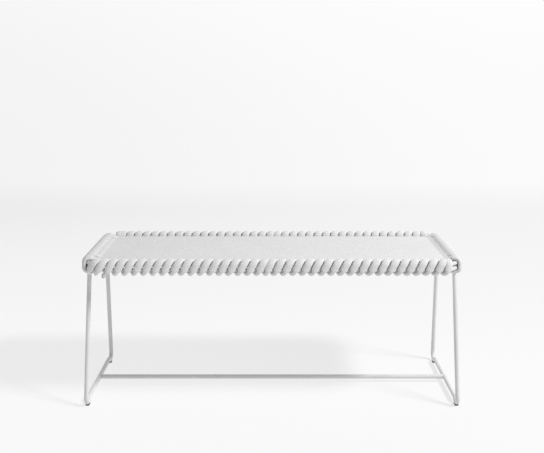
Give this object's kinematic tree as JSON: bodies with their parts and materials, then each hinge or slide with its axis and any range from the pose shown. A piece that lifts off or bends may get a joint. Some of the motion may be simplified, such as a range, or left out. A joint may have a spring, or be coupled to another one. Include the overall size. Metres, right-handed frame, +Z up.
{
  "type": "garden bench",
  "caption": "Backless garden bench: a seat of stretched white cord bound round a stacked-rod frame, on splayed bent-rod end frames joined by a low stretcher.",
  "frame": {"origin": "on the floor, under the middle of the seat", "axes": "+X along the bench to the right as seen from the front, +Y to the back edge, +Z up"},
  "size_m": [1.2, 0.45, 0.47],
  "materials": {
    "frame_paint": "powder coat, satin off-white",
    "glide_plastic": "moulded, matt dark grey",
    "deck_cord": "braided outdoor cord, matt off-white",
    "edge_cord": "braided outdoor cord, matt off-white",
    "sealed_cord": "braided cord, heat-sealed end"
  },
  "bodies": {
    "root": {"upper_seat_rail": "frame_paint", "lower_seat_rail": "frame_paint", "rail_spacers": "frame_paint", "left_end_frame": "frame_paint", "right_end_frame": "frame_paint", "stretcher": "frame_paint", "left_inner_brace": "frame_paint", "left_outer_brace": "frame_paint", "right_inner_brace": "frame_paint", "right_outer_brace": "frame_paint", "front_left_glide": "glide_plastic", "back_left_glide": "glide_plastic", "front_right_glide": "glide_plastic", "back_right_glide": "glide_plastic", "deck_cord_01": "deck_cord", "deck_cord_02": "deck_cord", "deck_cord_03": "deck_cord", "deck_cord_04": "deck_cord", "deck_cord_05": "deck_cord", "deck_cord_06": "deck_cord", "deck_cord_07": "deck_cord", "deck_cord_08": "deck_cord", "deck_cord_09": "deck_cord", "deck_cord_10": "deck_cord", "deck_cord_11": "deck_cord", "deck_cord_12": "deck_cord", "deck_cord_13": "deck_cord", "deck_cord_14": "deck_cord", "deck_cord_15": "deck_cord", "deck_cord_16": "deck_cord", "front_edge_cord": "edge_cord", "back_edge_cord": "edge_cord", "left_end_cord": "edge_cord", "right_end_cord": "edge_cord", "cord_tail": "sealed_cord"}
  },
  "joints": []
}
